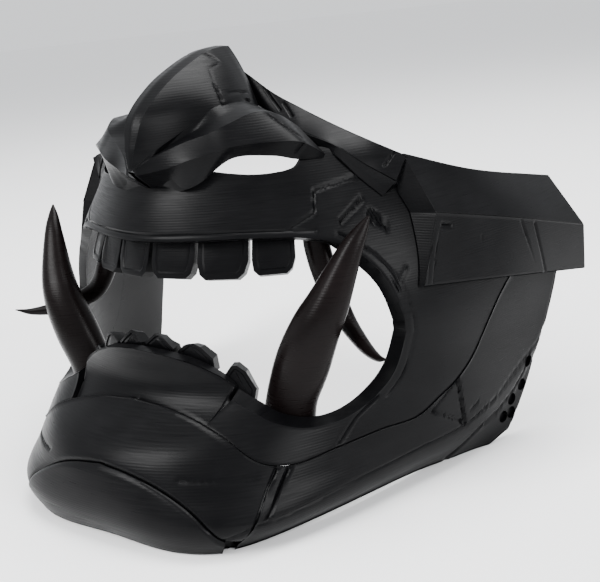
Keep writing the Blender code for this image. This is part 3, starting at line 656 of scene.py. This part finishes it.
# %% Nose
NOSE_HALF_WIDTH = 0.511 * HALF_WIDTH
NOSE_DEPTH = 0.342 * SKIN_DEPTH
NOSE_RISE = 0.350 * SKIN_HEIGHT
NOSE_OVERHANG, NOSE_LIFT, NOSE_WALL = 0.0073, 0.0014, 0.0030
NOSE_LEVELS = 0.912, 0.905            # heights on the skin that the tip and the base stand from
NOSE_BULGE, TIP_WALL_SHARE = 0.05, 0.35
CREASE_FALL = 0.12                    # how far the ridge strip falls back and down, by its half width
POCKET_MIDDLE, POCKET_REACH = 2.3, 1.0      # in sections from the tip
POCKET_FLOOR, POCKET_DEPTH = 0.5 * MM, 5.0 * MM
NOSE = np.array([
    # ridge y, z   crease  edge x, y, z         top x, y, z          arch x, y, z         rim x, y, z
    (0.000, 0.163, 0.013, 0.031, 0.013, 0.172, 0.040, 0.013, 0.158, 0.049, 0.012, 0.110, 0.004, 0.25, -0.115),
    (0.030, 0.343, 0.044, 0.111, 0.102, 0.266, 0.138, 0.097, 0.241, 0.211, 0.100, 0.140, 0.078, 0.215, -0.11),
    (0.110, 0.565, 0.071, 0.218, 0.275, 0.393, 0.289, 0.199, 0.321, 0.356, 0.153, 0.194, 0.244, 0.17, -0.055),
    (0.322, 0.765, 0.080, 0.316, 0.396, 0.510, 0.422, 0.280, 0.371, 0.500, 0.242, 0.233, 0.389, 0.197, 0.008),
    (0.555, 0.898, 0.080, 0.369, 0.500, 0.560, 0.533, 0.364, 0.432, 0.616, 0.328, 0.266, 0.533, 0.354, 0.161),
    (0.767, 0.981, 0.076, 0.391, 0.661, 0.557, 0.622, 0.513, 0.488, 0.796, 0.479, 0.263, 0.733, 0.492, 0.150),
    (0.915, 1.000, 0.067, 0.382, 0.809, 0.515, 0.689, 0.650, 0.449, 0.918, 0.576, 0.235, 0.867, 0.587, 0.100),
    (1.000, 0.997, 0.062, 0.356, 0.894, 0.463, 0.747, 0.769, 0.332, 0.991, 0.699, 0.116, 0.969, 0.708, 0.083),
])
FACETS = (4, 16, 16, 6, 6, 20, 8)     # mesh rows across each strip of the half section
NOSE_LINES = [
    # points in mm on the left half, half width and depth in mm
    ([(3.4, -3.0, 129.6), (8.4, -0.8, 126.6), (8.8, -7.1, 125.2), (12.2, -10.1, 121.6), (16.8, -13.0, 114.9)],
     0.7, 0.8),
    ([(16.8, -13.0, 114.9), (17.0, -0.5, 114.4)], 0.6, 0.7),
    ([(15.9, -8.6, 117.5), (15.5, 1.4, 116.9)], 0.6, 0.5),
    ([(30.5, -10.0, 111.0), (34.7, -9.5, 107.9), (39.2, -8.2, 104.5)], 0.6, 0.5),
    ([(41.6, -9.6, 102.5), (38.9, -10.6, 99.9)], 0.6, 0.5),
]


def nose():
    t = np.linspace(0.0, len(NOSE) - 1.0, 150)
    table = [curve(range(len(NOSE)), NOSE[:, k], t) for k in range(NOSE.shape[1])]
    tip_y = skin(0.0, NOSE_LEVELS[0] * SKIN_HEIGHT)[1] - NOSE_OVERHANG
    base_z = NOSE_LEVELS[1] * SKIN_HEIGHT + NOSE_LIFT

    def place(x, y, z):
        return np.stack([x * NOSE_HALF_WIDTH, tip_y + y * NOSE_DEPTH, base_z + z * NOSE_RISE], 1)
    ridge = place(0.0 * t, table[0], table[1])
    crease = ridge.copy()
    crease[:, 0] = table[2] * NOSE_HALF_WIDTH
    crease[:, 1:] += np.outer(crease[:, 0], (CREASE_FALL, -CREASE_FALL))
    low, top, arch, rim = (place(*table[k:k + 3]) for k in (3, 6, 9, 12))
    axis = np.stack([0.0 * t, (ridge[:, 1] + arch[:, 1]) / 2, arch[:, 2]], 1)

    def unit(v):
        return v / np.linalg.norm(v, axis=1)[:, None]
    side = (crease + low) / 2
    side += unit(side - axis) * np.linalg.norm(low - crease, axis=1)[:, None] * NOSE_BULGE
    pocket = (low + top) / 2
    depth = POCKET_FLOOR + POCKET_DEPTH * np.exp(-((t - POCKET_MIDDLE) / POCKET_REACH) ** 4)
    depth = np.minimum(depth, np.linalg.norm(pocket - axis, axis=1) / 2.5)
    pocket -= unit(pocket - axis) * depth[:, None]
    keys = [ridge, crease, side, low, pocket, top, arch, rim]
    bend = 2 * side - (crease + low) / 2
    half, crease_at = [ridge], []
    for k, count in enumerate(FACETS):
        for step in range(1, count + 1):
            share = step / count
            if k in (1, 2):
                along = (share + k - 1) / 2
                half.append((1 - along) ** 2 * crease + 2 * along * (1 - along) * bend + along**2 * low)
            else:
                half.append(keys[k] * (1 - share) + keys[k + 1] * share)
        crease_at.append(len(half) - 1)
    half = np.array(half)
    normal = surface_normals(half)
    flip = np.sign(np.sum(normal * (half - axis[None]), axis=2).mean())
    half = groove_in_space(half, normal * flip, NOSE_LINES)
    inwards = axis[None] - half
    far = np.linalg.norm(inwards, axis=2)[:, :, None]
    inner = half + inwards / (far + 1e-9) * np.minimum(NOSE_WALL, far * TIP_WALL_SHARE)
    turned = np.array([-1.0, 1.0, 1.0])
    front = np.concatenate([half[:0:-1] * turned, half])
    back = np.concatenate([inner[:0:-1] * turned, inner])
    middle = len(half) - 1
    creases = {("column", middle + sign * crease_at[k]) for k in (0, 2, 4, 5) for sign in (-1, 1)}
    body = wall_between(front, back, creases=creases, rim=0.18 * MM)
    return finish("nose_hood", body, BODY_PLASTIC, ["nose"], smooth=20.0)


nose()

# %% [markdown]
# ## Ear plates
# A bent bar stands off the cheek in front and runs back over it. Its side and its sloping top are
# nearly flat, and meet in a ridge that sanding has rounded.

# %% Ear plates
EAR_SEAT, PLATE_EDGE = 0.0008, 0.0030
EAR = np.array([
    # top x, y, z            ridge x, y, z          foot x, y, z
    (0.707, 0.567, 0.938, 0.818, 0.560, 0.776, 0.803, 0.504, 0.585),
    (0.824, 0.721, 0.857, 0.934, 0.752, 0.707, 0.932, 0.692, 0.546),
    (0.922, EAR_END, 0.762, 1.052, EAR_END, 0.606, 1.052, EAR_END, 0.462),
])
EAR_KEYS = (0.0, 0.44, 1.0)
EAR_LINES = [
    # points in mm on the left half, half width and depth in mm
    ([(84.2, 39.3, 70.7), (86.2, 44.0, 53.0)], 0.6, 0.5),
    ([(85.9, 45.4, 68.4), (87.5, 48.0, 52.0)], 0.6, 0.5),
    ([(71.6, 7.8, 78.8), (71.4, 4.2, 70.0), (71.0, 1.4, 60.8)], 0.45, 0.4),
    ([(72.3, 9.6, 78.4), (72.2, 6.0, 69.6), (71.8, 3.0, 60.4)], 0.45, 0.4),
    ([(73.0, 9.4, 76.2), (74.0, 12.0, 75.6)], 0.9, 0.8),
    ([(78.7, 22.3, 70.0), (78.6, 22.0, 58.0)], 0.4, 0.2),
    ([(60.5, 8.6, 88.6), (70.0, 9.0, 81.0)], 0.6, 0.5),
]


def spot(x, y, z):
    """Points whose x, y and z are shares of the face's half width, depth and height."""
    return np.stack([x * HALF_WIDTH, CHIN_FRONT + y * SKIN_DEPTH, z * SKIN_HEIGHT], -1)


def way_at(y, z):
    """u at which the skin at height z reaches y."""
    low, high = np.full(y.shape, 0.3), np.full(y.shape, 1.2)
    for _ in range(24):
        middle = (low + high) / 2
        short = skin(middle, z)[..., 1] < y
        low, high = np.where(short, middle, low), np.where(short, high, middle)
    return low


def ear_plate(word, side):
    t = np.linspace(0.0, 1.0, 200)
    table = [curve(EAR_KEYS, EAR[:, k], t) for k in range(9)]
    top, ridge, foot = (spot(*table[k:k + 3]) for k in (0, 3, 6))
    face_rows = 40
    share = np.linspace(0.0, 1.0, face_rows)[None, :, None]
    side_face = foot[:, None] * (1 - share) + ridge[:, None] * share
    slope = ridge[:, None] * (1 - share) + top[:, None] * share
    front = np.concatenate([side_face, slope[:, 1:]], axis=1)
    rows = front.shape[1]
    up = np.clip((np.arange(rows) - (face_rows - 1)) / (face_rows - 1), 0, 1)[None, :]
    z = front[:, :, 2] - PLATE_EDGE * np.clip(2 * up, 0, 1)
    cheek = skin(way_at(front[:, :, 1], z), z, EAR_SEAT)[:, :, 0]
    reach = np.minimum(cheek, front[:, :, 0] - PLATE_EDGE / 2)
    seated = np.stack([reach, front[:, :, 1], z], -1)
    hung = front + np.array([-PLATE_EDGE, 0.0, -PLATE_EDGE / 2])
    upper = np.clip(2 * up - 1, 0, 1)[:, :, None]
    back = seated * (1 - upper) + hung * upper
    normal = surface_normals(front)
    normal *= np.sign(normal[:, :, 0].mean())
    front = groove_in_space(front, normal, EAR_LINES)
    turned = np.array([side, 1.0, 1.0])
    body = wall_between(front * turned, back * turned, creases={("row", face_rows - 1)}, rim=0.5 * MM)
    return finish("ear_bar_" + word, body, BODY_PLASTIC, ["ear_plate_" + word])


for word, side in SIDES:
    ear_plate(word, side)

# %% [markdown]
# ## Brow bands
# A narrow band runs from the nose to each ear plate. It has a face that looks forwards and up and
# a narrow underside that shades the cheek.

# %% Brow bands
BAND_WALL = 0.0030
BROW = np.array([
    # top x, y, z            low edge x, y, z       foot x, y, z
    (0.105, 0.580, 1.175, 0.189, 0.556, 1.074, 0.188, 0.574, 1.044),
    (0.205, 0.576, 1.120, 0.250, 0.545, 1.052, 0.250, 0.560, 1.019),
    (0.318, 0.572, 1.074, 0.375, 0.519, 1.014, 0.375, 0.522, 0.981),
    (0.506, 0.558, 1.009, 0.528, 0.500, 0.973, 0.515, 0.498, 0.950),
    (0.614, 0.559, 0.971, 0.602, 0.518, 0.922, 0.585, 0.514, 0.884),
    (0.700, 0.564, 0.940, 0.671, 0.546, 0.874, 0.639, 0.528, 0.838),
])
BROW_KEYS = (0.0, 0.15, 0.32, 0.62, 0.8, 1.0)
BAND_START, BAND_END = -0.12, 1.05
BROW_LINES = [
    # points in mm on the left half, half width and depth in mm
    ([(15.4, 9.6, 116.8), (18.5, 8.4, 113.5), (22.3, 6.7, 110.3)], 0.6, 0.6),
    ([(22.8, 8.5, 112.1), (27.2, 5.7, 108.5)], 0.7, 0.7),
    ([(57.9, 5.5, 93.8), (59.6, 7.6, 97.1)], 0.7, 0.6),
]


def brow_band(word, side):
    t = np.linspace(BAND_START, BAND_END, 200)
    table = [curve(BROW_KEYS, BROW[:, k], t) for k in range(9)]
    top, low, foot = (spot(*table[k:k + 3]) for k in (0, 3, 6))
    under = np.linspace(0.0, 1.0, 5)[None, :, None]
    over = np.linspace(0.0, 1.0, 26)[None, :, None]
    front = np.concatenate([foot[:, None] * (1 - under) + low[:, None] * under,
                            (low[:, None] * (1 - over) + top[:, None] * over)[:, 1:]], axis=1)
    level = np.array([-0.45, 0.89, 0.0]) / math.hypot(0.45, 0.89)
    backwards = np.array([-0.25, 0.80, -0.55]) / math.hypot(0.25, 0.80, 0.55)
    share = np.clip(np.arange(front.shape[1]) / 4, 0, 1)[None, :, None]
    back = front + BAND_WALL * (level * (1 - share) + backwards * share)
    normal = surface_normals(front)
    normal *= -np.sign(normal[:, :, 1].mean())
    front = groove_in_space(front, normal, BROW_LINES)
    turned = np.array([side, 1.0, 1.0])
    body = wall_between(front * turned, back * turned, creases={("row", 4)}, rim=0.35 * MM)
    return finish("brow_" + word, body, BODY_PLASTIC, ["brow_band_" + word])


for word, side in SIDES:
    brow_band(word, side)

# %% [markdown]
# ## Teeth
# Each tooth is a small block behind the lip. Its outline is a ring of a few corners, extruded
# back, with a raised frame round a sunken face, as the printed ones have.

# %% Teeth
TOOTH_DEPTH, TOOTH_SEAT = 0.0042, 0.0007
UPPER_TEETH = ((0.005, 0.128, 0.674, 0.815), (0.133, 0.255, 0.671, 0.812), (0.260, 0.366, 0.676, 0.805))
LOWER_TEETH = ((0.003, 0.092, 0.445, 0.540), (0.098, 0.186, 0.415, 0.510), (0.194, 0.280, 0.355, 0.432))
UPPER_SHAPE = ((-0.98, 1.0), (-0.98, -0.35), (-0.86, -0.80), (-0.62, -1.0), (0.62, -1.0), (0.86, -0.80),
               (0.98, -0.35), (0.98, 1.0))
LOWER_SHAPE = ((-0.96, -1.0), (0.96, -1.0), (1.0, -0.30), (0.45, 0.62), (0.02, 1.0), (-0.30, 0.96),
               (-0.90, 0.20))


def tooth(name, node, side, row, shape, seat):
    first, last, low, high = row
    body = bmesh.new()
    bmesh.ops.create_circle(body, cap_ends=True, segments=len(shape), radius=1.0)
    body.faces.ensure_lookup_table()
    front = body.faces[0]
    for loop, (a, c) in zip(front.loops, shape):
        loop.vert.co = (a, -1.0, c)
    fresh = bmesh.ops.extrude_face_region(body, geom=[front], use_keep_orig=True)["geom"]
    for v in fresh:
        if isinstance(v, bmesh.types.BMVert):
            v.co.y = 1.0
    bmesh.ops.recalc_face_normals(body, faces=body.faces)
    front = min(body.faces, key=lambda face: face.calc_center_median().y)
    bmesh.ops.bevel(body, geom=list(front.edges), offset=0.07, segments=2, profile=0.5, affect="EDGES",
                    material=-1, clamp_overlap=True)
    front = min(body.faces, key=lambda face: face.calc_center_median().y)
    bmesh.ops.inset_region(body, faces=[front], thickness=0.13, depth=0.0)
    bmesh.ops.inset_region(body, faces=[front], thickness=0.07, depth=-0.16)
    bmesh.ops.inset_region(body, faces=[front], thickness=0.16, depth=0.06)
    middle, half = (first + last) / 2, (last - first) / 2
    verts = list(body.verts)
    a, b, c = np.array([v.co for v in verts]).T
    places = skin(side * (middle + a * half), (low + (high - low) * (c + 1) / 2) * SKIN_HEIGHT,
                  -(seat + TOOTH_DEPTH * (b + 1) / 2))
    for v, place in zip(verts, places):
        v.co = place
    return finish(name, body, BODY_PLASTIC, [node], smooth=22.0)


for row_name, table, shape, seat in (("upper", UPPER_TEETH, UPPER_SHAPE, WALL + TOOTH_SEAT),
                                     ("lower", LOWER_TEETH, LOWER_SHAPE, WALL + TOOTH_SEAT + LIP_STEP)):
    ordered = [(-1.0, row) for row in reversed(table)] + [(1.0, row) for row in table]
    for number, (side, row) in enumerate(ordered, start=1):
        tooth(f"{row_name}_carved_tooth_{number}", f"{row_name}_tooth_{number}", side, row, shape, seat)

# %% [markdown]
# ## Tusks
# The tusks are printed horns with a keel along the front. A ring of points is carried along a
# curved middle line and shrinks to the tip.

# %% Tusks
LOWER_TUSK = np.array([
    # x      y      z      thickness
    (0.448, 0.302, 0.267, 0.90),
    (0.472, 0.304, 0.340, 0.88),
    (0.522, 0.305, 0.433, 0.92),
    (0.574, 0.310, 0.524, 0.83),
    (0.619, 0.328, 0.602, 0.69),
    (0.672, 0.366, 0.723, 0.41),
    (0.699, 0.389, 0.777, 0.23),
    (0.717, 0.404, 0.812, 0.04),
])
UPPER_TUSK = np.array([
    (0.466, 0.444, 0.777, 0.85),
    (0.476, 0.440, 0.699, 0.92),
    (0.517, 0.430, 0.602, 0.86),
    (0.585, 0.414, 0.515, 0.70),
    (0.699, 0.360, 0.475, 0.50),
    (0.784, 0.319, 0.468, 0.28),
    (0.841, 0.293, 0.480, 0.04),
])
TUSK_GIRTH, FANG_GIRTH, TUSK_FLAT = 0.0088, 0.0045, 0.78
TUSK_SIDES = 32
KEEL = 0.16               # how far the keel stands out, as a share of the half thickness


def tusk(name, node, side, table, girth):
    t = np.linspace(0.0, len(table) - 1.0, 90)
    x, y, z, share = (curve(range(len(table)), table[:, k], t) for k in range(4))
    middle = spot(side * x, y, z)
    size = np.maximum(share, 0.03) * girth
    heading = np.gradient(middle, axis=0)
    heading /= np.linalg.norm(heading, axis=1)[:, None]
    across = np.cross(heading, (0.0, 1.0, 0.0))
    across /= np.linalg.norm(across, axis=1)[:, None]
    deep = np.cross(across, heading)
    body = bmesh.new()
    bmesh.ops.create_grid(body, x_segments=TUSK_SIDES, y_segments=len(t) - 1, size=0.5)
    for v in body.verts:
        turn = (v.co.x + 0.5) * math.tau
        k = round((v.co.y + 0.5) * (len(t) - 1))
        keel = 1 + KEEL * max(0.0, math.cos(turn - math.pi / 2)) ** 8
        keel += KEEL * 0.6 * max(0.0, math.cos(turn + math.pi / 2)) ** 8
        flat, thick = math.cos(turn), math.sin(turn) * keel
        v.co = middle[k] + across[k] * flat * size[k] + deep[k] * thick * size[k] * TUSK_FLAT
    bmesh.ops.remove_doubles(body, verts=body.verts, dist=2e-6)
    bmesh.ops.holes_fill(body, edges=[e for e in body.edges if e.is_boundary], sides=0)
    return finish(name, body, TUSK_PLASTIC, [node], smooth=50.0)


for word, side in SIDES:
    tusk("long_tusk_" + word, "lower_tusk_" + word, side, LOWER_TUSK, TUSK_GIRTH)
    tusk("short_tusk_" + word, "upper_tusk_" + word, side, UPPER_TUSK, FANG_GIRTH)

# %% [markdown]
# ## Stage, light and camera
# A pale floor that curves up behind would do for a studio. Here a large flat floor and an even
# sky are enough: black satin plastic shows its form by the soft boxes that it reflects.

# %% Floor
FLOOR_REACH = 30.0
floor_mesh = bmesh.new()
bmesh.ops.create_grid(floor_mesh, x_segments=1, y_segments=1, size=FLOOR_REACH)
mesh = bpy.data.meshes.new("studio_floor")
floor_mesh.to_mesh(mesh)
floor_mesh.free()
studio_floor = bpy.data.objects.new("studio_floor", mesh)
bpy.context.collection.objects.link(studio_floor)
paper = bpy.data.materials.new("white_backdrop_paper")
paper.use_nodes = True
paper.node_tree.nodes["Principled BSDF"].inputs["Base Color"].default_value = linear("#fafafa")
paper.node_tree.nodes["Principled BSDF"].inputs["Roughness"].default_value = 0.9
mesh.materials.append(paper)
print("floor, m wide:", 2 * FLOOR_REACH)

# %% Soft light
SKY_STRENGTH = 1.25
world = bpy.data.worlds.new("studio")
bpy.context.scene.world = world
world.use_nodes = True
world.node_tree.nodes["Background"].inputs[0].default_value = linear("#f2f4f7")
world.node_tree.nodes["Background"].inputs[1].default_value = SKY_STRENGTH
SOFT_BOXES = [
    # name      position            aimed at           size  power
    ("key", (-0.35, -0.75, 0.85), (0.0, 0.0, 0.05), 0.5, 16.0),
    ("side", (0.95, -0.15, 0.50), (0.0, 0.0, 0.05), 0.5, 9.0),
    ("top", (0.05, 0.25, 1.10), (0.0, 0.0, 0.05), 0.7, 18.0),
]
for name, place, aim, size, power in SOFT_BOXES:
    lamp = bpy.data.lights.new(name, "AREA")
    lamp.shape = "SQUARE"
    lamp.size, lamp.energy = size, power
    box = bpy.data.objects.new(name, lamp)
    bpy.context.collection.objects.link(box)
    box.location = place
    box.rotation_euler = (Vector(aim) - Vector(place)).to_track_quat("-Z", "Y").to_euler()
print("soft boxes:", len(SOFT_BOXES))

# %% Camera
lens = bpy.data.cameras.new("camera")
camera = bpy.data.objects.new("camera", lens)
bpy.context.collection.objects.link(camera)
right, up = Vector((0.8192, 0.5640, -0.1045)), Vector((-0.0755, 0.2867, 0.9552))
turn = Matrix([right, up, right.cross(up)]).transposed().to_4x4()
turn.translation = (0.1941, -0.2272, 0.1369)
camera.matrix_world = turn
lens.sensor_width, lens.lens = 36.0, 56.93
bpy.context.scene.camera = camera
print("camera, m from the mask:", round(camera.matrix_world.translation.length, 2))
